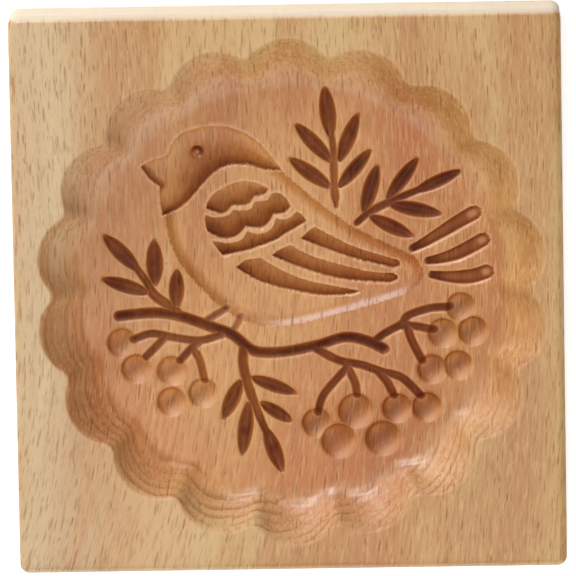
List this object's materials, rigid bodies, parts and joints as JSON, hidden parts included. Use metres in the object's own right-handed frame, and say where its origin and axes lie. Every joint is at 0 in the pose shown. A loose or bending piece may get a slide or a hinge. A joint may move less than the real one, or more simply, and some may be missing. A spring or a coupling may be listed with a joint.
{
  "type": "cookie mould",
  "caption": "Near-square beech block with a round, lobed and coved basin in its face, carved with a bird above a twig of leaves and berries.",
  "frame": {"origin": "middle of the flat back, on the surface that the mould lies on", "axes": "+Z out of the carved face, +Y towards the edge above the bird, +X towards the bird's tail"},
  "size_m": [0.15, 0.154, 0.02],
  "materials": {
    "beech": "oiled beech, semi-gloss, darker in the grooves"
  },
  "bodies": {
    "root": {"mould_block": "beech"}
  },
  "joints": []
}
